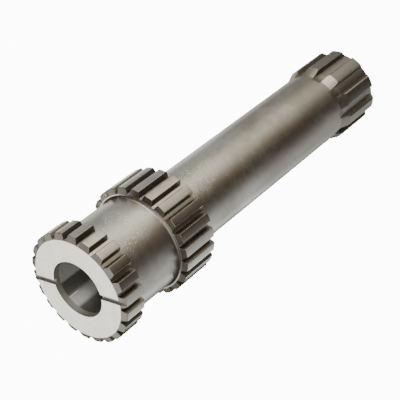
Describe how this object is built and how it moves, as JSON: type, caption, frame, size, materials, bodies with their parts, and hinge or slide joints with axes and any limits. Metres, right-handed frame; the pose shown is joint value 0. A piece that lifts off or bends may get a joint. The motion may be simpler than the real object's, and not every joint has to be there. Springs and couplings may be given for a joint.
{
  "type": "rear drive shaft",
  "caption": "One-piece steel drive shaft: two splined lands and a bore at the front, a long plain cylinder, and a straight-sided spline at the far end.",
  "frame": {"origin": "centre of the far end's face, where the shaft stands", "axes": "+Z along the shaft's axis, from the far straight-sided spline up to the bored and slotted face; +X along the face slot"},
  "size_m": [0.0584, 0.0582, 0.2286],
  "materials": {
    "steel": "satin machined"
  },
  "bodies": {
    "root": {"drive_shaft": "steel"}
  },
  "joints": []
}
